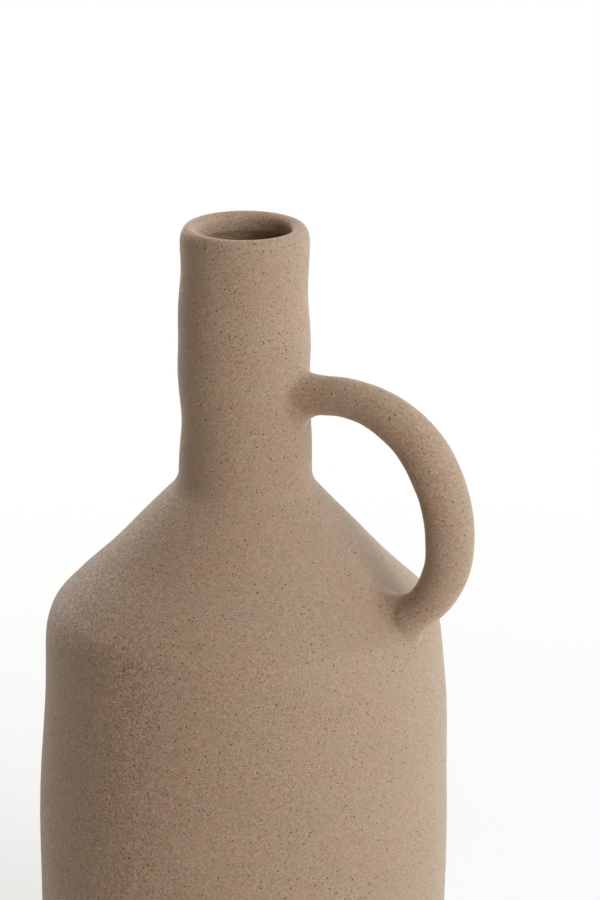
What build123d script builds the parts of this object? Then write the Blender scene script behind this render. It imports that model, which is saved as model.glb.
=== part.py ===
from build123d import *
import math
import os

# Hand-built stoneware bottle vase with one loop handle, in millimetres.
# It stands on z = 0 with +Z up. The origin lies under the axis of the neck's bore, and the
# handle points along +X. Each lump of clay that the potter shapes is its own solid, and
# neighbours meet face to face, where they are luted together with slip.

# Clay thicknesses
WALL_THICKNESS = 6.0
FLOOR_THICKNESS = 8.0
FOOT_ROUNDING = 3.0

# Heights of the pieces that stand on one another, and of the belly's widest ring over the floor
WALL_HEIGHT = 131.4
SHOULDER_HEIGHT = 69.2
NECK_HEIGHT = 83.4
RIM_HEIGHT = 8.0
BELLY_HEIGHT = 77.0

# Diameters, outside unless named otherwise
FOOT_DIAMETER = 140.4
BELLY_DIAMETER = 144.1
SHOULDER_DIAMETER = 140.1
NECK_DIAMETER = 45.0
MOUTH_BORE = 32.6

# Handle: its thickest diameter, the height of its upper root over the shoulder, how far its
# centre line stands out past the belly, the straight stretch between its two bends, its lower
# bend, the height of its lower root over the wall, and how steeply it leaves the shoulder there
HANDLE_DIAMETER = 17.3
HANDLE_RISE = 35.2
HANDLE_OVERHANG = 8.2
HANDLE_STRAIGHT = 5.0
HANDLE_LOWER_BEND = 32.0
HANDLE_LANDING_HEIGHT = 27.4
HANDLE_LANDING_PITCH = 44.0

# Soft clay worked into the joints: how far each bead runs along the two pieces that it joins
FLOOR_SEAM_LEG = 7.0
SHOULDER_SEAM_LEG = 9.0
SHOULDER_SEAM_DEPTH = 2.2
NECK_SEAM_LEG = 2.6
UPPER_COLLAR_LEG = 3.4
LOWER_COLLAR_LEG = 4.2
# A bead's face is bowed towards the corner that it fills by this share of its depth, and its
# feather edges start this far inside the clay under them, so that they end in a clean line. The
# neck's seam is tooled flat, and starts further in because the neck is uneven.
BEAD_HOLLOW = 0.3
BEAD_BITE = 0.1
NECK_SEAM_BITE = 0.3
# A handle's collar spreads by this much for each millimetre that the wall falls away beside it.
COLLAR_SKIRT = 0.3

# Hand-made unevenness. The pot leans towards LEAN_BEARING, in degrees from +X, and its foot by
# FOOT_LEAN, in millimetres. The rings of the shoulder and the neck stand at equal steps of height,
# from the bottom of their piece to its top. Each is a size, and how far that ring leans.
LEAN_BEARING = 28.0
FOOT_LEAN = -1.3
WALL_STEPS = 15
# Size: the share of the way in from the wall to the neck
SHOULDER_RINGS = (
    (0.000, -0.2),
    (0.012, -0.5),
    (0.028, -0.7),
    (0.110, -0.7),
    (0.300, -1.1),
    (0.490, -0.7),
    (0.660, -0.4),
    (0.832, -0.3),
    (1.000, 0.0),
)
# Size: how far the neck swells past its nominal radius, in millimetres
NECK_RINGS = (
    (0.80, 0.0),
    (0.45, 0.2),
    (0.05, 0.4),
    (0.15, 0.0),
    (0.40, -0.3),
    (0.35, -0.2),
    (-0.05, -0.3),
    (-0.40, -0.1),
    (-0.20, 0.0),
)
# Share of the handle's thickest diameter, at equal steps from its upper root to its lower one
HANDLE_RINGS = (0.81, 0.79, 0.81, 0.90, 0.98, 1.00, 0.98, 0.89, 0.79, 0.75)

# Heights and radii that follow from the sizes above
FLOOR_TOP = FLOOR_THICKNESS
WALL_TOP = FLOOR_TOP + WALL_HEIGHT
SHOULDER_TOP = WALL_TOP + SHOULDER_HEIGHT
NECK_TOP = SHOULDER_TOP + NECK_HEIGHT
RIM_TOP = NECK_TOP + RIM_HEIGHT
FOOT_RADIUS = FOOT_DIAMETER / 2
BELLY_RADIUS = BELLY_DIAMETER / 2
SHOULDER_RADIUS = SHOULDER_DIAMETER / 2
NECK_RADIUS = NECK_DIAMETER / 2
BORE_RADIUS = MOUTH_BORE / 2
NECK_FOOT_RADIUS = NECK_RADIUS + NECK_RINGS[0][0]
RIM_RADIUS = NECK_RADIUS + NECK_RINGS[-1][0]
HANDLE_REACH = max(BELLY_RADIUS, SHOULDER_RADIUS) + HANDLE_OVERHANG
UPRIGHT = (Align.CENTER, Align.CENTER, Align.MIN)


def body_rings():
    """(height, radius, lean) of the wall and the shoulder, from the floor slab to the neck."""
    rings = []
    for step in range(WALL_STEPS):
        share = step / WALL_STEPS
        height = share * WALL_HEIGHT
        if height < BELLY_HEIGHT:
            drawn_in = (BELLY_RADIUS - FOOT_RADIUS) * (1 - height / BELLY_HEIGHT) ** 2
        else:
            past_belly = (height - BELLY_HEIGHT) / (WALL_HEIGHT - BELLY_HEIGHT)
            drawn_in = (BELLY_RADIUS - SHOULDER_RADIUS) * past_belly**2
        lean = FOOT_LEAN + (SHOULDER_RINGS[0][1] - FOOT_LEAN) * share**2
        rings.append((FLOOR_TOP + height, BELLY_RADIUS - drawn_in, lean))
    slope_width = SHOULDER_RADIUS - NECK_FOOT_RADIUS
    slope = [(SHOULDER_RADIUS - way_in * slope_width, lean) for way_in, lean in SHOULDER_RINGS]
    return rings + even_rings(WALL_TOP, SHOULDER_TOP, slope)


def neck_rings():
    """(height, radius, lean) of the neck, from the shoulder to the rim."""
    return even_rings(SHOULDER_TOP, NECK_TOP, [(NECK_RADIUS + swell, lean) for swell, lean in NECK_RINGS])


def even_rings(low, high, sizes):
    """(height, radius, lean) at equal steps of height, from (radius, lean) pairs."""
    step = (high - low) / (len(sizes) - 1)
    return [(low + i * step, radius, lean) for i, (radius, lean) in enumerate(sizes)]


def cavity_rings(rings):
    """The same rings moved one wall thickness into the pot, square to the outline, and one at the table."""
    moved = [(0, rings[0][1] - WALL_THICKNESS, rings[0][2])]
    for i, (height, radius, lean) in enumerate(rings):
        below = rings[max(i - 1, 0)]
        above = rings[min(i + 1, len(rings) - 1)]
        climb = Vector(above[1] - below[1], above[0] - below[0]).normalized()
        moved.append((height + WALL_THICKNESS * climb.X, radius - WALL_THICKNESS * climb.Y, lean))
    return moved


def radius_at(rings, height):
    """Radius at a height, on straight lines from ring to ring."""
    for low, high in zip(rings, rings[1:]):
        if low[0] <= height <= high[0]:
            return low[1] + (high[1] - low[1]) * (height - low[0]) / (high[0] - low[0])


def lean_point(lean, height):
    """The centre of a ring that leans by that much, at that height."""
    bearing = math.radians(LEAN_BEARING)
    return Vector(lean * math.cos(bearing), lean * math.sin(bearing), height)


def stack(rings):
    """A filled solid through level discs."""
    return loft([Pos(lean_point(lean, height)) * Circle(radius) for height, radius, lean in rings])


def band(solid, low, high):
    """The stretch of a solid between two heights."""
    width = 4 * HANDLE_REACH
    return solid & Pos(0, 0, low) * Box(width, width, high - low, align=UPRIGHT)


def turned(edges):
    """A solid of revolution about Z from a closed outline drawn as (radius, height).

    Its seam is on +Y, away from the seams of the rings on +X.
    """
    return revolve(Plane.YZ * make_face(edges), Axis.Z)


def hollow_arc(start, corner, end):
    """The hollow face of a bead, bowed towards the corner that it fills."""
    middle = (start + end) / 2
    return ThreePointArc(start, middle + (corner - middle) * BEAD_HOLLOW, end)


# Filled shapes that the pieces are cut from
BODY_RINGS = body_rings()
CAVITY_RINGS = cavity_rings(BODY_RINGS)
BORE_FOOT = CAVITY_RINGS[-2][0]
filled_body = stack(BODY_RINGS)
filled_neck = stack(neck_rings())
belly_cavity = stack(CAVITY_RINGS)
bore = Pos(0, 0, BORE_FOOT) * Cylinder(BORE_RADIUS, RIM_TOP - BORE_FOOT, align=UPRIGHT)


def make_base_slab():
    """Round floor slab, rounded where it meets the table."""
    slab = Pos(lean_point(FOOT_LEAN, 0)) * Cylinder(FOOT_RADIUS, FLOOR_THICKNESS, align=UPRIGHT)
    return fillet(slab.edges().sort_by(Axis.Z)[0], FOOT_ROUNDING)


def make_body_wall():
    """The upright wall, standing on the slab."""
    return band(filled_body, FLOOR_TOP, WALL_TOP) - belly_cavity


def make_shoulder():
    """The sloping shoulder, from the top of the wall in to the neck."""
    return band(filled_body, WALL_TOP, SHOULDER_TOP) - belly_cavity - bore


def make_neck():
    """The neck, shaped round a dowel, so that its bore is true while its outside is uneven."""
    return filled_neck - bore


def make_rim():
    """The coil that finishes the mouth, with a fully rounded lip."""
    lip = (RIM_RADIUS - BORE_RADIUS) / 2
    spring = RIM_TOP - lip
    return turned([
        Line((BORE_RADIUS, NECK_TOP), (RIM_RADIUS, NECK_TOP)),
        Line((RIM_RADIUS, NECK_TOP), (RIM_RADIUS, spring)),
        ThreePointArc((RIM_RADIUS, spring), (RIM_RADIUS - lip, RIM_TOP), (BORE_RADIUS, spring)),
        Line((BORE_RADIUS, spring), (BORE_RADIUS, NECK_TOP)),
    ])


def handle_roots():
    """Where the handle's centre line leaves the neck and the shoulder, and in which directions."""
    upper = SHOULDER_TOP + HANDLE_RISE
    landing = WALL_TOP + HANDLE_LANDING_HEIGHT
    pitch = math.radians(HANDLE_LANDING_PITCH)
    upper_root = Vector(radius_at(neck_rings(), upper), 0, upper)
    lower_root = Vector(radius_at(BODY_RINGS, landing), 0, landing)
    return upper_root, Vector(1, 0, 0), lower_root, Vector(math.cos(pitch), 0, math.sin(pitch))


def handle_path():
    """Centre line: straight out of the neck, round the upper bend, down, and in to the shoulder."""
    upper_root, outwards, lower_root, upwards = handle_roots()
    lower_leg = (HANDLE_REACH - lower_root.X) / upwards.X
    lower_corner = lower_root + upwards * lower_leg
    lower_tangent = math.tan(math.radians(90 - HANDLE_LANDING_PITCH) / 2)
    lower_bend = min(HANDLE_LOWER_BEND, lower_leg / lower_tangent)
    lower_bend_top = lower_corner.Z + lower_bend * lower_tangent
    drop = upper_root.Z - lower_bend_top - HANDLE_STRAIGHT
    run = HANDLE_REACH - upper_root.X
    return FilletPolyline(
        upper_root - outwards * (WALL_THICKNESS / 2),
        Vector(HANDLE_REACH, 0, upper_root.Z),
        lower_corner,
        lower_root - upwards * (WALL_THICKNESS / 2),
        radius=[min(drop, run), lower_bend],
    )


def handle_blank():
    """The whole rolled coil of the handle, with ends that reach into the pot's wall."""
    path = handle_path()
    sections = []
    for i, thickness in enumerate(HANDLE_RINGS):
        share = i / (len(HANDLE_RINGS) - 1)
        square_to_path = Plane(path @ share, x_dir=(0, 1, 0), z_dir=path % share)
        sections.append(square_to_path * Circle(thickness * HANDLE_DIAMETER / 2))
    return loft(sections)


def make_handle():
    """The handle, with its ends cut to sit on the neck and the shoulder."""
    return handle_blank() - filled_neck - filled_body


def make_floor_seam():
    """The coil pressed into the inside corner between floor and wall."""
    inside = radius_at(CAVITY_RINGS, FLOOR_TOP)
    top = FLOOR_TOP + FLOOR_SEAM_LEG
    start = Vector(inside - FLOOR_SEAM_LEG, FLOOR_TOP - BEAD_BITE)
    end = Vector(inside + BEAD_BITE, top)
    left_open = turned([
        Line((0, start.Y), start),
        hollow_arc(start, Vector(inside, FLOOR_TOP), end),
        Line(end, (0, top)),
        Line((0, top), (0, start.Y)),
    ])
    return band(belly_cavity, FLOOR_TOP, top - BEAD_BITE) - Pos(lean_point(FOOT_LEAN, 0)) * left_open


def make_shoulder_seam():
    """The coil smeared over the inside of the seam between wall and shoulder."""
    inside = radius_at(CAVITY_RINGS, WALL_TOP)
    low, high = WALL_TOP - SHOULDER_SEAM_LEG, WALL_TOP + SHOULDER_SEAM_LEG
    edge = inside + BEAD_BITE
    left_open = turned([
        Line((0, low), (edge, low)),
        ThreePointArc((edge, low), (inside - SHOULDER_SEAM_DEPTH, WALL_TOP), (edge, high)),
        Line((edge, high), (0, high)),
        Line((0, high), (0, low)),
    ])
    smeared = band(belly_cavity, low + BEAD_BITE, high - BEAD_BITE)
    return smeared - Pos(lean_point(SHOULDER_RINGS[0][1], 0)) * left_open


def make_neck_seam():
    """The thin coil tooled flat into the crease round the foot of the neck."""
    corner = Vector(NECK_FOOT_RADIUS, SHOULDER_TOP)
    below = BODY_RINGS[-2]
    slope = (Vector(below[1], below[0]) - corner).normalized()
    start = corner + Vector(-NECK_SEAM_BITE, NECK_SEAM_LEG)
    end = corner + slope * NECK_SEAM_LEG + Vector(slope.Y, -slope.X) * NECK_SEAM_BITE
    disc = turned([
        Line((0, start.Y), start),
        Line(start, end),
        Line(end, (0, end.Y)),
        Line((0, end.Y), (0, start.Y)),
    ])
    return disc - filled_body - filled_neck


def make_collar(root, outwards, thickness, leg):
    """The clay blended round one root of the handle, cut to the pot and to the handle."""
    radius = thickness * HANDLE_DIAMETER / 2
    start, corner, end = Vector(radius - BEAD_BITE, leg), Vector(radius, 0), Vector(radius + leg, 0)
    skirt = Vector(end.X + COLLAR_SKIRT * WALL_THICKNESS, -WALL_THICKNESS)
    flare = turned([
        Line((0, leg), start),
        hollow_arc(start, corner, end),
        Line(end, skirt),
        Line(skirt, (0, skirt.Y)),
        Line((0, skirt.Y), (0, leg)),
    ])
    return Plane(root, z_dir=outwards) * flare - filled_neck - filled_body - handle


handle = make_handle()
upper_root, upper_outwards, lower_root, lower_outwards = handle_roots()
PIECES = {
    "base_slab": make_base_slab(),
    "body_wall": make_body_wall(),
    "shoulder_cone": make_shoulder(),
    "neck_tube": make_neck(),
    "rim_coil": make_rim(),
    "handle_coil": handle,
    "floor_seam_coil": make_floor_seam(),
    "shoulder_seam_coil": make_shoulder_seam(),
    "neck_seam_coil": make_neck_seam(),
    "upper_handle_collar": make_collar(upper_root, upper_outwards, HANDLE_RINGS[0], UPPER_COLLAR_LEG),
    "lower_handle_collar": make_collar(lower_root, lower_outwards, HANDLE_RINGS[-1], LOWER_COLLAR_LEG),
}

os.makedirs("parts", exist_ok=True)
for name, piece in PIECES.items():
    export_step(piece, f"parts/{name}.step")
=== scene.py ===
import math

import bpy
import numpy as np
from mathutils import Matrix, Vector
from mathutils.bvhtree import BVHTree


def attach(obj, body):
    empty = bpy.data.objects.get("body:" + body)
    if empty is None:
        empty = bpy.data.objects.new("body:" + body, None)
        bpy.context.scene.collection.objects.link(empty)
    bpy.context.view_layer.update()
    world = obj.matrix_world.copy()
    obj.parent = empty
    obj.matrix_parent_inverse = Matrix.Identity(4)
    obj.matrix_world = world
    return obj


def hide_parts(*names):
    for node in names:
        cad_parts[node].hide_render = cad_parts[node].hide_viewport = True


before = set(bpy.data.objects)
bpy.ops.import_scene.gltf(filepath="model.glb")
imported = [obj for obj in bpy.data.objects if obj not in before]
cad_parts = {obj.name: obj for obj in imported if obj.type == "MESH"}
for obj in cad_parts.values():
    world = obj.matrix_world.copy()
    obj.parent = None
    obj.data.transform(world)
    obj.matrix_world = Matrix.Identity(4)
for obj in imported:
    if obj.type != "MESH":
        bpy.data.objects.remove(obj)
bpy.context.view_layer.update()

# FLOOR SLAB
# A round of rolled stoneware, cut with a wire, that closes the pot and is also its foot. Its
# lower edge is rounded with a damp sponge so that it doesn't chip on the table.

# Sizes are in millimetres unless they say otherwise. No wheel trues the pot, so each height of it
# leans a little along one bearing, which is also left to right in the photograph.
MM = 0.001
FOOT_RADIUS = 70.2
FLOOR_TOP = 8.0
FOOT_ROUNDING = 3.0
ROUNDING_STEPS = 12
UNDERSIDE_RINGS = (0, 10, 25, 40, 55, 64)
EDGE_RINGS = (3.6, 4.5, 5.6, 6.8, 7.6, FLOOR_TOP)
FLOOR_RINGS = (69.6, 66, 60, 48, 36, 24, 12, 0)
FOOT_LEAN = -1.3
LEAN_BEARING = math.radians(28)


class Wire:
    """One output in a node tree. Arithmetic on it adds Math nodes, and node() adds any other."""

    def __init__(self, socket):
        self.socket = socket

    def node(self, kind, settings=None, sockets=None, output=0):
        tree = self.socket.id_data
        made = tree.nodes.new(kind)
        for name, value in (settings or {}).items():
            if name == "stops":
                for element, (position, colour) in zip(made.color_ramp.elements, value):
                    element.position, element.color = position, (*colour, 1)
            else:
                setattr(made, name, value)
        for name, value in (sockets or {}).items():
            if isinstance(value, Wire):
                tree.links.new(value.socket, made.inputs[name])
            else:
                made.inputs[name].default_value = value
        return Wire(made.outputs[output])

    def out(self, name):
        return Wire(self.socket.node.outputs[name])

    def math(self, operation, *values):
        return self.node("ShaderNodeMath", {"operation": operation}, dict(enumerate(values)))

    def vector(self, operation, sockets, output=0):
        """Vector Math on this vector, with the node's other sockets."""
        return self.node("ShaderNodeVectorMath", {"operation": operation}, {0: self, **sockets}, output)

    def between(self, low, high):
        """0 below low, 1 above high, and smooth between them."""
        settings = {"interpolation_type": "SMOOTHSTEP"}
        sockets = {"Value": self, "From Min": low, "From Max": high}
        return self.node("ShaderNodeMapRange", settings, sockets)

    def tint(self, share, colour, blend="MIX"):
        """This colour, mixed with another one by a share."""
        settings = {"data_type": "RGBA", "blend_type": blend}
        return self.node("ShaderNodeMix", settings, {0: share, 6: self, 7: (*colour, 1)}, 2)

    def __add__(self, other):
        return self.math("ADD", self, other)

    def __sub__(self, other):
        return self.math("SUBTRACT", self, other)

    def __rsub__(self, other):
        return self.math("SUBTRACT", other, self)

    def __mul__(self, other):
        return self.math("MULTIPLY", self, other)

    def __truediv__(self, other):
        return self.math("DIVIDE", self, other)

    def __rtruediv__(self, other):
        return self.math("DIVIDE", other, self)

    __radd__ = __add__
    __rmul__ = __mul__


# The clay is a grogged stoneware, unglazed and fired to a matt taupe. Sand shows as a fine grain,
# iron as dark specks and grog as paler ones, and the kiln leaves a faint mottling. On the pot's
# shaded left side the light and dark of the sand grains is painted stronger, and their facets
# tilt more: painted shade and highlight of grains caught by grazing light.
SAND_SPACING = 0.35
SAND_CONTRAST = 0.43
DARK_SAND = (0.196, 0.134, 0.0865)
PALE_SAND = (0.607, 0.416, 0.269)
BELLY_RADIUS = 72.0
SHADED_SIDE_GRAIN = 1.9
SHADED_SIDE_TO = -0.85
LIT_SIDE_GRAIN = 0.8
LIT_SIDE_FROM = -0.15
IRON_SPACING = 1.62
SPECK_RADIUS = 0.16
SPECK_GROWTH = 0.21
IRON_COLOUR = (0.045, 0.03, 0.022)
IRON_COVER = 0.97
GROG_SPACING = 2.4
GROG_COLOUR = (0.66, 0.54, 0.42)
GROG_COVER = 0.45
FACET_TILT = 0.48
GRIT_SPACING = 0.92
GRIT_HEIGHT = 0.5
GRIT_STRENGTH = 0.13
SPECK_PIT = 0.3
DULLEST = 0.66
SAND_GLOSS = 0.16
stoneware = bpy.data.materials.new("raw_stoneware")
stoneware.use_nodes = True
clay_tree = stoneware.node_tree
clay = clay_tree.nodes["Principled BSDF"]
place = Wire(clay_tree.nodes.new("ShaderNodeTexCoord").outputs["Object"])


def cloud(width, detail, roughness, distortion=0.0):
    """Soft noise whose lumps are about that wide, in millimetres."""
    sockets = {"Vector": place, "Scale": 1 / (width * MM), "Detail": detail, "Roughness": roughness,
               "Distortion": distortion}
    return place.node("ShaderNodeTexNoise", {}, sockets)


def grains(spacing):
    """The distance to the nearest of many scattered grains, as a share of their spacing, with the
    grain's own colour beside it."""
    return place.node("ShaderNodeTexVoronoi", {}, {"Vector": place, "Scale": 1 / (spacing * MM)})


def own_number(grain):
    """A number from 0 to 1 that each grain has all over."""
    return grain.node("ShaderNodeSeparateColor", {}, {"Color": grain.out("Color")})


eastward = place.node("ShaderNodeSeparateXYZ", {}, {"Vector": place})
across_pot = eastward * math.cos(LEAN_BEARING) + eastward.out("Y") * math.sin(LEAN_BEARING)
# Painted shade: the sand's contrast rises towards the pot's shaded left side, standing in for grains
# caught by grazing light.
towards_lit_side = (across_pot / (BELLY_RADIUS * MM)).between(SHADED_SIDE_TO, LIT_SIDE_FROM)
grain_and_painted_shade = SHADED_SIDE_GRAIN - (SHADED_SIDE_GRAIN - LIT_SIDE_GRAIN) * towards_lit_side
sand_grain = grains(SAND_SPACING)
# The sand's tone carries that painted shade and highlight on the shaded side.
sand = 0.5 + (own_number(sand_grain) - 0.5) * grain_and_painted_shade * SAND_CONTRAST
iron_grain = grains(IRON_SPACING)
crowding = cloud(11.0, 2.0, 0.5).between(0.35, 0.68)
speck = SPECK_RADIUS + SPECK_GROWTH * own_number(iron_grain) * (0.5 + 0.5 * crowding)
iron = 1 - (iron_grain * IRON_SPACING / speck).between(0.75, 1.05)
grog = 1 - (grains(GROG_SPACING) * GROG_SPACING).between(0.12, 0.26)
tone = sand.node("ShaderNodeValToRGB", {"stops": ((0.0, DARK_SAND), (1.0, PALE_SAND))}, {"Fac": sand})
red_patch = cloud(17.0, 3.0, 0.6).between(0.42, 0.68)
green_patch = cloud(23.0, 3.0, 0.6, 0.4).between(0.45, 0.7)
pink_fleck = cloud(2.6, 2.0, 0.6).between(0.4, 0.65)
ochre_fleck = cloud(3.7, 2.0, 0.6).between(0.4, 0.65)
tone = tone.tint(red_patch, (1.02, 0.985, 0.98), "MULTIPLY")
tone = tone.tint(green_patch, (0.98, 0.992, 0.955), "MULTIPLY")
tone = tone.tint(pink_fleck, (1.02, 0.985, 0.985), "MULTIPLY")
tone = tone.tint(ochre_fleck, (1.0, 0.995, 0.95), "MULTIPLY")
tone = tone.tint(grog * GROG_COVER, GROG_COLOUR)
tone = tone.tint(iron * IRON_COVER, IRON_COLOUR)
# Each grain of sand is a small facet with a tilt of its own, and coarser grit swells the skin.
tilt = sand_grain.out("Color").vector("SUBTRACT", {1: (0.5, 0.5, 0.5)})
tilt = tilt.vector("SCALE", {"Scale": grain_and_painted_shade * FACET_TILT})
facing = place.node("ShaderNodeNewGeometry", {}, {}, "Normal")
facet = tilt.vector("ADD", {1: facing}).vector("NORMALIZE", {})
relief = 1 - grains(GRIT_SPACING) - iron * SPECK_PIT
skin = relief.node("ShaderNodeBump", {}, {
    "Strength": GRIT_STRENGTH, "Distance": GRIT_HEIGHT * MM, "Height": relief, "Normal": facet})
clay_tree.links.new(tone.socket, clay.inputs["Base Color"])
clay_tree.links.new((DULLEST - sand * SAND_GLOSS).socket, clay.inputs["Roughness"])
clay_tree.links.new(skin.socket, clay.inputs["Normal"])
clay.inputs["Diffuse Roughness"].default_value = 0.6
clay.inputs["Specular IOR Level"].default_value = 0.28
clay.inputs["Sheen Weight"].default_value = 0.26
clay.inputs["Sheen Roughness"].default_value = 0.3

# A banding wheel turns every round piece: the outline goes in as points of radius, lean and height,
# and each is swept round, shifted by its lean and made a little uneven by the hand.
SEGMENTS = 256
HAND_MARK = 0.16
HAND_WIDTH = 26.0
EVEN_MIDDLE = 10.0
WELD = 0.001
SHARP_FOLD = math.radians(35)


def new_tree(name, inputs):
    """An empty shaping tree with these inputs after its geometry, and the wire of that geometry."""
    tree = bpy.data.node_groups.new(name, "GeometryNodeTree")
    tree.interface.new_socket("Geometry", in_out="INPUT", socket_type="NodeSocketGeometry")
    for label, kind in inputs.items():
        tree.interface.new_socket(label, in_out="INPUT", socket_type=f"NodeSocket{kind}")
    tree.interface.new_socket("Geometry", in_out="OUTPUT", socket_type="NodeSocketGeometry")
    return tree, Wire(tree.nodes.new("NodeGroupInput").outputs["Geometry"])


def hand_marks(spot, given):
    """How far the hand left the clay out or in at a spot, by the tree's given lumps."""
    lumps = spot.node("ShaderNodeTexNoise", {"noise_dimensions": "4D"}, {
        "Vector": spot, "W": given.out("Seed"), "Scale": 1 / given.out("Lump width"), "Detail": 2.0,
        "Roughness": 0.45})
    return (lumps - 0.5) * 2 * given.out("Unevenness")


def finish_tree(shell, given):
    """Ends a tree: the shell is smooth but for its sharp folds, and made of the given clay."""
    shell = shell.node("GeometryNodeSetShadeSmooth", {"domain": "FACE"}, {0: shell, "Shade Smooth": True})
    fold = shell.node("GeometryNodeInputMeshEdgeAngle")
    soft = fold.node("FunctionNodeCompare", {"data_type": "FLOAT", "operation": "LESS_THAN"},
                     {0: fold, 1: SHARP_FOLD})
    shell = shell.node("GeometryNodeSetShadeSmooth", {"domain": "EDGE"}, {0: shell, "Shade Smooth": soft})
    shell = shell.node("GeometryNodeRealizeInstances", {}, {"Geometry": shell})
    shell = shell.node("GeometryNodeSetMaterial", {}, {"Geometry": shell, "Material": given.out("Clay")})
    tree = shell.socket.id_data
    tree.links.new(shell.socket, tree.nodes.new("NodeGroupOutput").inputs["Geometry"])


TURNING, outline = new_tree("turning", {
    "Segments": "Int", "Closed": "Int", "Lean bearing": "Float", "Unevenness": "Float",
    "Lump width": "Float", "Seed": "Float", "Clay": "Material"})
segments = outline.out("Segments")
columns = segments + 1
points = outline.node("GeometryNodeAttributeDomainSize", {"component": "MESH"}, {"Geometry": outline},
                      "Point Count")
index = outline.node("GeometryNodeInputIndex")
rows_done = index / columns
row = rows_done.math("FLOOR", rows_done)
angle = (index - row * columns) * (2 * math.pi) / segments
ring = outline.node("GeometryNodeSampleIndex", {"data_type": "FLOAT_VECTOR", "domain": "POINT"}, {
    "Geometry": outline, "Value": outline.node("GeometryNodeInputPosition"),
    "Index": row.math("MODULO", row, points)})
radius = ring.node("ShaderNodeSeparateXYZ", {}, {"Vector": ring})
lean, height = radius.out("Y"), radius.out("Z")
east = angle.math("COSINE", angle)
north = angle.math("SINE", angle)
bearing = outline.out("Lean bearing")
nominal = radius.node("ShaderNodeCombineXYZ", {}, {"X": radius * east, "Y": radius * north, "Z": height})
steadiness = radius.math("MINIMUM", radius / (EVEN_MIDDLE * MM), 1.0)
uneven = radius + hand_marks(nominal, outline) * steadiness
swept = nominal.node("ShaderNodeCombineXYZ", {}, {
    "X": uneven * east + lean * bearing.math("COSINE", bearing),
    "Y": uneven * north + lean * bearing.math("SINE", bearing), "Z": height})
net = swept.node("GeometryNodeMeshGrid", {}, {
    "Vertices X": points + outline.out("Closed"), "Vertices Y": columns})
net = net.node("GeometryNodeSetPosition", {}, {"Geometry": net, "Position": swept})
net = net.node("GeometryNodeMergeByDistance", {}, {"Geometry": net, "Distance": WELD * MM})
net = net.node("GeometryNodeFlipFaces", {}, {"Mesh": net})
finish_tree(net, outline)


def put(name, data):
    """A new object in the scene, at the origin."""
    thing = bpy.data.objects.new(name, data)
    bpy.context.scene.collection.objects.link(thing)
    return thing


def line_up(name, points, closed):
    """A row of joined points, in millimetres, as an object at the origin."""
    mesh = bpy.data.meshes.new(name)
    joins = [(i, i + 1) for i in range(len(points) - 1)]
    mesh.from_pydata([Vector(p) * MM for p in points], joins + [(len(points) - 1, 0)] * closed, [])
    return put(name, mesh)


def shape(piece, tree, **sizes):
    """Runs a tree on a piece with these sizes, and keeps the result as a plain mesh."""
    maker = piece.modifiers.new(tree.name, "NODES")
    maker.node_group = tree
    for label, value in sizes.items():
        maker[tree.interface.items_tree[label.replace("_", " ")].identifier] = value
    bpy.context.view_layer.update()
    made = bpy.data.meshes.new_from_object(piece.evaluated_get(bpy.context.evaluated_depsgraph_get()))
    piece.modifiers.clear()
    made.materials.clear()
    made.materials.append(stoneware)
    piece.data = made


def turn(name, outline, closed=True):
    """A round piece from its outline of (radius, lean, height), going up outside and down inside."""
    piece = line_up(name, outline, closed)
    shape(piece, TURNING, Segments=SEGMENTS, Closed=int(closed), Lean_bearing=LEAN_BEARING,
          Unevenness=HAND_MARK * MM, Lump_width=HAND_WIDTH * MM, Seed=3.0, Clay=stoneware)
    return piece


def stand(piece, node):
    """Puts a finished piece in the place of its solid."""
    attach(piece, "root")
    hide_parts(node)


foot_line = [(r, FOOT_LEAN, 0.0) for r in UNDERSIDE_RINGS]
for step in range(ROUNDING_STEPS + 1):
    turned_up = math.radians(90 * step / ROUNDING_STEPS)
    foot_line.append((FOOT_RADIUS - FOOT_ROUNDING * (1 - math.sin(turned_up)), FOOT_LEAN,
                      FOOT_ROUNDING * (1 - math.cos(turned_up))))
foot_line += [(FOOT_RADIUS, FOOT_LEAN, z) for z in EDGE_RINGS]
foot_line += [(r, FOOT_LEAN, FLOOR_TOP) for r in FLOOR_RINGS]
base_slab = turn("floor_slab", foot_line, closed=False)
stand(base_slab, "base_slab")

# BODY WALL
# The upright wall, built of coils on the slab and scraped smooth with a rib. Its sides swell a
# little and lean a little, because no wheel trues them. Each ring is a height, a radius and a lean.
WALL = 6.0
WALL_TOP = 139.4
BODY_RINGS = (
    (FLOOR_TOP, FOOT_RADIUS, FOOT_LEAN),
    (28.0, 70.95, -1.32),
    (48.0, 71.56, -1.25),
    (66.0, 71.99, -1.06),
    (85.0, 72.12, -1.03),
    (108.0, 71.52, -0.68),
    (130.0, 70.56, -0.05),
    (146.0, 69.66, -0.55),
    (152.0, 69.31, -0.74),
    (157.0, 68.66, -0.76),
    (161.0, 67.40, -0.76),
    (165.0, 65.05, -0.80),
    (168.5, 61.65, -0.90),
    (172.0, 58.1, -1.08),
    (180.0, 49.85, -0.74),
    (190.0, 40.5, -0.45),
    (200.0, 31.2, -0.4),
    (208.6, 23.16, 0.00),
)
END_STEPS = (0.1, 0.4)
END_ROOM = 0.6
JOINT_SHARES = (0.02, 0.25, 0.5, 0.75, 0.98)
SLOPE_REACH = 0.5


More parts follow.
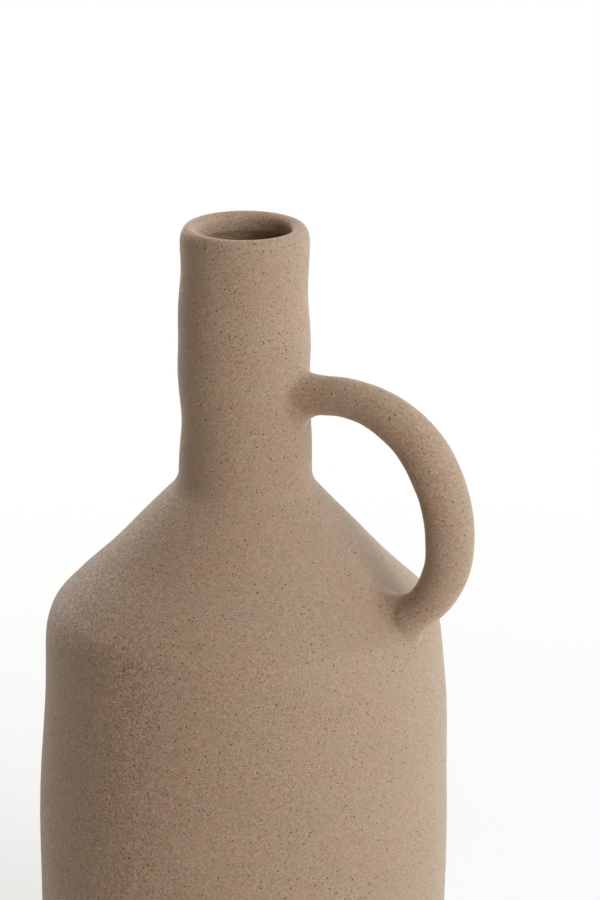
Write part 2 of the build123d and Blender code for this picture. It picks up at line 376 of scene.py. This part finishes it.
def smooth_line(rings):
    """The (radius, lean) of a smooth line through (height, radius, lean) rings, at any heights."""
    heights, sizes = np.array(rings)[:, 0], np.array(rings)[:, 1:]
    gaps = np.diff(heights)
    slopes = np.diff(sizes, axis=0) / gaps[:, None]
    system, bends = np.eye(len(rings)), np.zeros_like(sizes)
    for i in range(1, len(rings) - 1):
        system[i, i - 1:i + 2] = gaps[i - 1], 2 * (gaps[i - 1] + gaps[i]), gaps[i]
        bends[i] = 6 * (slopes[i] - slopes[i - 1])
    bends = np.linalg.solve(system, bends)

    def at(height):
        i = min(max(np.searchsorted(heights, height) - 1, 0), len(rings) - 2)
        up, down, gap = height - heights[i], heights[i + 1] - height, gaps[i]
        bent = (bends[i] * down**3 / 6 + bends[i + 1] * up**3 / 6) / gap
        from_below = (sizes[i] / gap - bends[i] * gap / 6) * down
        from_above = (sizes[i + 1] / gap - bends[i + 1] * gap / 6) * up
        return bent + (from_below + from_above)

    return at


def climb(low, high, step):
    """Heights from low to high at about that step, closer together near both ends."""
    inner = np.linspace(low, high, max(2, round((high - low) / step)) + 1)[1:-1]
    inner = inner[(inner > low + END_ROOM) & (inner < high - END_ROOM)]
    return [low, *(low + s for s in END_STEPS), *inner, *(high - s for s in END_STEPS[::-1]), high]


def across(start, end):
    """The flat joint between two points of an outline, left open at both."""
    start, end = np.array(start), np.array(end)
    return [tuple(start + (end - start) * share) for share in JOINT_SHARES]


def walled(outside, inside):
    """The whole outline of a wall: up its outside, over its top, down its inside and back below."""
    return outside + across(outside[-1], inside[0]) + inside + across(inside[-1], outside[0])


def inward(at, height):
    """The point of the inner wall one wall thickness in from the outside at a height."""
    radius, lean = at(height)
    fall = at(height - SLOPE_REACH)[0] - at(height + SLOPE_REACH)[0]
    return radius - WALL / math.hypot(1, fall), lean, height - WALL * fall / math.hypot(1, fall)


body_line = smooth_line(BODY_RINGS)
outside = [(*body_line(z), z) for z in climb(FLOOR_TOP, WALL_TOP, step=1.6)]
inside = [(body_line(z)[0] - WALL, body_line(z)[1], z) for z in climb(FLOOR_TOP, WALL_TOP, step=3.0)]
wall = turn("body_wall_clay", walled(outside, inside[::-1]))
stand(wall, "body_wall")

# FLOOR SEAM
# A soft coil pressed into the inside corner of floor and wall with a thumb, so that the pot doesn't
# crack or leak there.
SEAM_LEG = 7.0
SEAM_HOLLOW = 0.45


def hollow(start, corner, end, depth, steps=10):
    """Points of a hollow curve from start to end that is drawn towards the corner by that share."""
    start, corner, end = np.array(start), np.array(corner), np.array(end)
    pulled = [start, start + (corner - start) * depth, end + (corner - end) * depth, end]
    return [tuple(sum(math.comb(3, k) * t**k * (1 - t) ** (3 - k) * p for k, p in enumerate(pulled)))
            for t in np.linspace(0, 1, steps + 1)]


floor_corner = np.array((body_line(FLOOR_TOP)[0] - WALL, FOOT_LEAN, FLOOR_TOP))
seam_line = hollow(floor_corner + (0, 0, SEAM_LEG), floor_corner, floor_corner - (SEAM_LEG, 0, 0),
                   SEAM_HOLLOW)
floor_seam = turn("floor_seam_clay", [tuple(floor_corner)] + seam_line)
stand(floor_seam, "floor_seam_coil")

# SHOULDER
# A cone of coils laid inwards on the wall and paddled to a rounded edge. The seam with the wall is
# scraped over outside and can't be seen. Inside, it is drawn in to a throat under the neck.
SHOULDER_TOP = 208.6
BORE_RADIUS = 16.3
THROAT = ((17.6, 0.0, 205.2), (16.6, 0.0, 206.8), (BORE_RADIUS, 0.0, SHOULDER_TOP))
THROAT_DROP = 3.0
SEAM_ROOM = 0.3
outside = [(*body_line(z), z) for z in climb(WALL_TOP, SHOULDER_TOP, step=0.8)]
cone = [inward(body_line, z) for z in climb(WALL_TOP, SHOULDER_TOP - THROAT_DROP, step=1.6)]
cone = [point for point in cone if point[2] > WALL_TOP + SEAM_ROOM]
joint_radius, joint_lean = body_line(WALL_TOP)
inside = [(joint_radius - WALL, joint_lean, WALL_TOP), *cone, *THROAT]
shoulder = turn("shoulder_clay", walled(outside, inside[::-1]))
stand(shoulder, "shoulder_cone")

# SHOULDER SEAM
# A coil of the same clay, smeared with a finger over the inside of the joint of wall and shoulder
# before the neck went on, so that the joint doesn't open as it dries.
SMEAR_REACH = 9.0
SMEAR_DEPTH = 2.2
SMEAR_RINGS = 19
GRIP = 6.0
GRIP_RINGS = 7
against_wall = [inward(body_line, z) for z in np.linspace(WALL_TOP - GRIP, WALL_TOP + GRIP, GRIP_RINGS)]
smear_line = []
for z in np.linspace(WALL_TOP + SMEAR_REACH, WALL_TOP - SMEAR_REACH, SMEAR_RINGS):
    radius_in, lean_in, height_in = inward(body_line, z)
    swell = SMEAR_DEPTH * math.cos(math.pi / 2 * (z - WALL_TOP) / SMEAR_REACH) ** 2
    smear_line.append((radius_in - swell, lean_in, height_in))
shoulder_seam = turn("shoulder_seam_clay", against_wall + smear_line)
stand(shoulder_seam, "shoulder_seam_coil")

# NECK
# A narrow tube rolled round a dowel and set on the shoulder, so its bore is true while its outside
# keeps the marks of the fingers. The bore widens a little above the shoulder, up to the lip.
NECK_TOP = 292.0
UNDER_RIM = 1.5
WIDENING = 20.0
NECK_RINGS = (
    (SHOULDER_TOP, 23.16, 0.00),
    (215.0, 23.08, 0.10),
    (222.7, 22.83, 0.37),
    (230.0, 22.42, 0.45),
    (240.0, 22.70, 0.00),
    (248.7, 22.81, -0.38),
    (257.0, 22.84, -0.12),
    (266.0, 22.65, -0.29),
    (274.0, 22.25, -0.42),
    (283.0, 21.95, 0.04),
    (NECK_TOP, 22.28, 0.15),
)
neck_line = smooth_line(NECK_RINGS)
outside = [(*neck_line(z), z) for z in climb(SHOULDER_TOP, NECK_TOP, step=1.0)]
inside = [(BORE_RADIUS + UNDER_RIM * min(1, (z - SHOULDER_TOP) / WIDENING), 0.0, z)
          for z in climb(SHOULDER_TOP, NECK_TOP, step=3.0)]
neck = turn("neck_clay", walled(outside, inside[::-1]))
stand(neck, "neck_tube")

# NECK SEAM
# A thread of soft clay run round the crease under the neck and drawn off with a wet finger, so that
# neck and shoulder flow into each other and the joint doesn't crack.
CREASE_UP = 3.4
CREASE_DOWN = 4.2
CREASE_HOLLOW = 0.55
CREASE_ROOT = (0.5, 0, 0.3)
SLOPE_FALL = 0.68
SUNK = 0.03
up_height = SHOULDER_TOP + CREASE_UP
up_point = np.array((*neck_line(up_height), up_height)) - (SUNK, 0, 0)
down_height = SHOULDER_TOP - CREASE_DOWN * SLOPE_FALL
down_point = np.array((*body_line(down_height), down_height)) - (SUNK, 0, SUNK)
crease_corner = np.array((*body_line(SHOULDER_TOP), SHOULDER_TOP))
crease_line = hollow(down_point, crease_corner, up_point, CREASE_HOLLOW, steps=14)
neck_seam = turn("neck_seam_clay", crease_line + [tuple(crease_corner - CREASE_ROOT)])
stand(neck_seam, "neck_seam_coil")

# RIM
# The last coil, of the same clay, laid on the neck and rounded over between finger and thumb into a
# full lip. Inside, the lip stands a little over the bore below it.
RIM_TOP = 299.8
RIM_RADIUS = 22.28
RIM_LEAN = 0.15
RIM_FALL = 5.4
LIP_UNDERSIDE = 293.4
LIP_SLOPE = 1.3
LIP_STEPS = 32
lip = (RIM_RADIUS - BORE_RADIUS) / 2
outside = [(RIM_RADIUS, RIM_LEAN, z) for z in climb(NECK_TOP, RIM_TOP - RIM_FALL, step=0.7)]
over = []
for turned_in in np.linspace(0, math.pi, LIP_STEPS + 1)[1:-1]:
    fall = RIM_FALL if turned_in < math.pi / 2 else lip
    over.append((BORE_RADIUS + lip + lip * math.cos(turned_in), RIM_LEAN * max(0, math.cos(turned_in)),
                 RIM_TOP + fall * (math.sin(turned_in) - 1)))
inside = [(BORE_RADIUS + UNDER_RIM * min(1, max(0, (LIP_UNDERSIDE - z) / LIP_SLOPE)), 0.0, z)
          for z in climb(NECK_TOP, RIM_TOP - lip, step=0.4)][::-1]
rim = turn("rim_clay", outside + over + inside + across(inside[-1], outside[0]))
stand(rim, "rim_coil")

# HANDLE
# A rolled coil, thicker in its middle and pressed wider at its roots, bent to a loop while soft and
# luted to neck and shoulder. Each point is how far out it lies, how high, and the coil's radius there.
HANDLE_POINTS = (
    (20.0, 243.3, 8.1),
    (23.2, 243.4, 7.55),
    (26.6, 243.5, 7.1),
    (31.5, 243.75, 6.82),
    (38.5, 244.15, 6.80),
    (45.7, 243.3, 6.94),
    (51.6, 241.7, 7.25),
    (57.9, 238.8, 7.66),
    (64.7, 234.1, 8.08),
    (70.3, 227.95, 8.50),
    (74.3, 221.1, 8.68),
    (77.2, 214.1, 8.60),
    (79.1, 205.6, 8.56),
    (79.57, 198.25, 8.40),
    (79.08, 190.9, 8.05),
    (76.75, 183.75, 7.66),
    (72.95, 177.1, 7.06),
    (67.9, 171.9, 6.72),
    (64.6, 168.95, 7.1),
    (60.3, 165.1, 7.5),
)
HANDLE_SIDE = -0.5
ROLLING_MARK = 0.14
ROLLING_WIDTH = 13.0
ROLLING, path = new_tree("rolling", {
    "Sides": "Int", "Rings": "Int", "Unevenness": "Float", "Lump width": "Float", "Seed": "Float",
    "Clay": "Material"})
bend = path.node("GeometryNodeMeshToCurve", {}, {"Mesh": path})
bend = bend.node("GeometryNodeCurveSplineType", {"spline_type": "CATMULL_ROM"}, {"Curve": bend})
bend = bend.node("GeometryNodeResampleCurve", {}, {"Curve": bend, "Count": path.out("Rings")})
thick = bend.node("GeometryNodeInputNamedAttribute", {"data_type": "FLOAT"}, {"Name": "coil_radius"})
section = bend.node("GeometryNodeCurvePrimitiveCircle", {"mode": "RADIUS"}, {
    "Resolution": path.out("Sides"), "Radius": 1.0})
coil = bend.node("GeometryNodeCurveToMesh", {}, {
    "Curve": bend, "Profile Curve": section, "Scale": thick, "Fill Caps": True})
marks = hand_marks(coil.node("GeometryNodeInputPosition"), path)
push = coil.node("GeometryNodeInputNormal").vector("SCALE", {"Scale": marks})
coil = coil.node("GeometryNodeSetPosition", {}, {"Geometry": coil, "Offset": push})
finish_tree(coil, path)

handle = line_up("handle_clay", [(out, HANDLE_SIDE, up) for out, up, _ in HANDLE_POINTS], False)
thickness = handle.data.attributes.new("coil_radius", "FLOAT", "POINT")
thickness.data.foreach_set("value", [r * MM for _, _, r in HANDLE_POINTS])
shape(handle, ROLLING, Sides=96, Rings=240, Unevenness=ROLLING_MARK * MM, Lump_width=ROLLING_WIDTH * MM,
      Seed=5.0, Clay=stoneware)
stand(handle, "handle_coil")

# HANDLE COLLARS
# Soft clay pressed round each root of the handle and smoothed with a wet finger, out over the wall
# on one side and up the coil on the other.
UPPER_ROOT = (22.6, HANDLE_SIDE, 243.3)
UPPER_WAY = (1, 0, 0)
UPPER_LEGS = ((3.4, 2.6), (1.5, 2.6), (9.0, 6.5))
LOWER_ROOT = (63.6, HANDLE_SIDE, 168.1)
LOWER_WAY = (0.72, 0, 0.69)
LOWER_LEGS = ((10.0, 9.0), (1.5, 2.6), (4.0, 3.0))
COLLAR_HOLLOW = 0.55
COLLAR_ROOT = 0.6
COLLAR_FOLD = math.radians(50)
CLEAR_OF_COIL = 30.0
CLEAR_OF_POT = 25.0


def tree_of(*pieces):
    """The surfaces of some pieces, for finding where a line meets them."""
    corners, faces = [], []
    for piece in pieces:
        start = len(corners)
        corners += [v.co.copy() for v in piece.data.vertices]
        faces += [[start + i for i in face.vertices] for face in piece.data.polygons]
    return BVHTree.FromPolygons(corners, faces)


def collar(name, root, outwards, legs, pot, around=96, steps=14):
    """A ring of blended clay about a root: for each direction, a hollow curve from coil to pot. The legs
    are how far it goes out along the coil and over the pot, for the side above, each side and below."""
    root = Vector(root) * MM
    outwards = Vector(outwards).normalized()
    side = Vector((0, 1, 0))
    over = outwards.cross(side).normalized()
    coil_skin = tree_of(handle)
    leg_above, leg_beside, leg_below = np.array(legs) * MM
    corners = []
    for i in range(around):
        turned = 2 * math.pi * i / around
        spoke = side * math.cos(turned) + over * math.sin(turned)
        leg_upright = leg_above if spoke.z > 0 else leg_below
        up_leg, wall_leg = leg_beside * math.cos(turned) ** 2 + leg_upright * math.sin(turned) ** 2
        beyond_coil = spoke * CLEAR_OF_COIL * MM
        off_pot = root + outwards * CLEAR_OF_POT * MM
        # The coil's width changes along it, so finding where it meets the pot takes a few tries.
        meet = root + outwards * up_leg
        for _ in range(3):
            middle = root + outwards * (meet - root).dot(outwards)
            wide = (coil_skin.ray_cast(middle + beyond_coil, -spoke)[0] - middle).dot(spoke)
            meet = pot.ray_cast(off_pot + spoke * wide, -outwards)[0]
        middle = root + outwards * ((meet - root).dot(outwards) + up_leg)
        up_spot = coil_skin.ray_cast(middle + beyond_coil, -spoke)[0] - spoke * SUNK * MM
        landing, pot_facing, _, _ = pot.ray_cast(off_pot + spoke * (wide + wall_leg), -outwards)
        down_spot = landing - pot_facing * SUNK * MM
        corners += [Vector(p) for p in hollow(up_spot, meet, down_spot, COLLAR_HOLLOW, steps)]
        corners.append(meet - (outwards + spoke) * COLLAR_ROOT * MM)
    count = steps + 2
    faces = []
    for i in range(around):
        for k in range(count):
            a, b = i * count, (i + 1) % around * count
            faces.append((a + k, a + (k + 1) % count, b + (k + 1) % count, b + k))
    mesh = bpy.data.meshes.new(name)
    mesh.from_pydata(corners, [], faces)
    mesh.materials.append(stoneware)
    mesh.set_sharp_from_angle(angle=COLLAR_FOLD)
    return put(name, mesh)


upper_collar = collar("upper_collar_clay", UPPER_ROOT, UPPER_WAY, UPPER_LEGS, tree_of(neck))
stand(upper_collar, "upper_handle_collar")
lower_collar = collar("lower_collar_clay", LOWER_ROOT, LOWER_WAY, LOWER_LEGS, tree_of(shoulder))
stand(lower_collar, "lower_handle_collar")

# TABLE
# A plain pale studio table that runs on past the edge of the view. It shows as near white and keeps
# the vase's shadow. It lies a hair under the foot, so that the two faces don't coincide.
TABLE_RADIUS = 5000.0
TABLE_SIDES = 96
TABLE_DROP = 0.05
PAPER_COLOUR = (0.9, 0.882, 0.85, 1)
SHADOW_START = 50.0
SHADOW_END = 650.0
WHITE_NEAR = 0.38


def only_seen(tree):
    """1 for rays that show a thing to the eye, straight, mirrored or through glass, and 0 for others."""
    ray = Wire(tree.nodes.new("ShaderNodeLightPath").outputs["Is Camera Ray"])
    mirrored = ray.math("MAXIMUM", ray, ray.out("Is Glossy Ray"))
    return ray.math("MAXIMUM", mirrored, ray.out("Is Transmission Ray"))


table_edge = [(TABLE_RADIUS * MM * math.cos(a), TABLE_RADIUS * MM * math.sin(a), -TABLE_DROP * MM)
              for a in np.linspace(0, 2 * math.pi, TABLE_SIDES + 1)[:-1]]
table_mesh = bpy.data.meshes.new("table")
table_mesh.from_pydata(table_edge, [], [list(range(TABLE_SIDES))])
table = put("table", table_mesh)
paper = bpy.data.materials.new("paper")
paper.use_nodes = True
paper_tree = paper.node_tree
sheet = paper_tree.nodes["Principled BSDF"]
sheet.inputs["Base Color"].default_value = PAPER_COLOUR
sheet.inputs["Roughness"].default_value = 0.9
sheet.inputs["Specular IOR Level"].default_value = 0.1
seen = only_seen(paper_tree)
spot = seen.node("ShaderNodeTexCoord", {}, {}, "Object")
away = spot.vector("LENGTH", {}, "Value").between(SHADOW_START * MM, SHADOW_END * MM)
white = seen.node("ShaderNodeEmission", {}, {"Color": (1, 1, 1, 1), "Strength": 1.0})
whiteness = seen * (WHITE_NEAR + (1 - WHITE_NEAR) * away)
mixed = white.node("ShaderNodeMixShader", {}, {0: whiteness, 1: Wire(sheet.outputs["BSDF"]), 2: white})
paper_tree.links.new(mixed.socket, paper_tree.nodes["Material Output"].inputs["Surface"])
table_mesh.materials.append(paper)

# LIGHT
# Large soft lamps round the vase: the front and key lamps stand to the right of the camera, cool ones
# fill in on the right and a warm one behind on the left. The white surroundings are only seen and
# mirrored.
RIGHT = Vector((math.cos(LEAN_BEARING), math.sin(LEAN_BEARING), 0))
TOWARDS = Vector((math.sin(LEAN_BEARING), -math.cos(LEAN_BEARING), 0))
LIT_HEIGHT = 160.0


def lamp(name, bearing, rise, distance, width, tall, power, colour):
    """A soft lamp aimed at the vase, with sizes in metres. Bearing and rise are in degrees, from the
    camera round to the right and up from level."""
    light = bpy.data.lights.new(name, "AREA")
    light.shape, light.size, light.size_y = "RECTANGLE", width, tall
    light.energy, light.color = power, colour
    turned, up = math.radians(bearing), math.radians(rise)
    level = TOWARDS * math.cos(turned) + RIGHT * math.sin(turned)
    way = level * math.cos(up) + Vector((0, 0, math.sin(up)))
    thing = put(name, light)
    thing.location = Vector((0, 0, LIT_HEIGHT * MM)) + way * distance
    thing.rotation_euler = (-way).to_track_quat("-Z", "Y").to_euler()


lamp("front_lamp", 30, 18, 1.6, 1.1, 0.5, 9.0, (1, 0.955, 0.99))
lamp("key_lamp", 44, 17, 1.6, 0.5, 0.5, 7.0, (0.83, 0.9, 1))
lamp("right_lamp", 82, 22, 1.0, 0.9, 0.6, 2.8, (0.45, 0.8, 1))
lamp("right_high_lamp", 85, 50, 0.9, 1.1, 1.3, 6.5, (0.8, 0.9, 1))
lamp("right_back_lamp", 124, 22, 1.6, 1.1, 1.3, 3.4, (0.66, 0.9, 1))
lamp("left_back_lamp", -147, 25, 1.6, 1.1, 1.3, 21.0, (1, 0.91, 0.81))
lamp("top_lamp", 60, 85, 1.6, 1.1, 1.3, 2.3, (1, 0.8, 0.76))

studio = bpy.data.worlds.new("studio")
bpy.context.scene.world = studio
studio.use_nodes = True
studio_tree = studio.node_tree
surround = studio_tree.nodes["Background"]
surround.inputs["Color"].default_value = (1, 1, 1, 1)
studio_tree.links.new(only_seen(studio_tree).socket, surround.inputs["Strength"])

# CAMERA
# The photograph's view: from a little above, with the handle turned towards it by 28 degrees.
# The distances are in millimetres from the middle of the foot.
CAMERA_SIDE = 19.0
CAMERA_DISTANCE = 1617.46
CAMERA_HEIGHT = 742.49
AIM_HEIGHT = 219.22
FOCAL_LENGTH = 196.25
SENSOR_WIDTH = 36.0
bpy.context.scene.view_settings.view_transform = "Standard"
lens = bpy.data.cameras.new("camera")
lens.lens, lens.sensor_width = FOCAL_LENGTH, SENSOR_WIDTH
lens.clip_start, lens.clip_end = 0.05, 30
camera = put("camera", lens)
camera.location = (RIGHT * CAMERA_SIDE + TOWARDS * CAMERA_DISTANCE + Vector((0, 0, CAMERA_HEIGHT))) * MM
aim = (RIGHT * CAMERA_SIDE + Vector((0, 0, AIM_HEIGHT))) * MM
camera.rotation_euler = (aim - camera.location).to_track_quat("-Z", "Y").to_euler()
bpy.context.scene.camera = camera
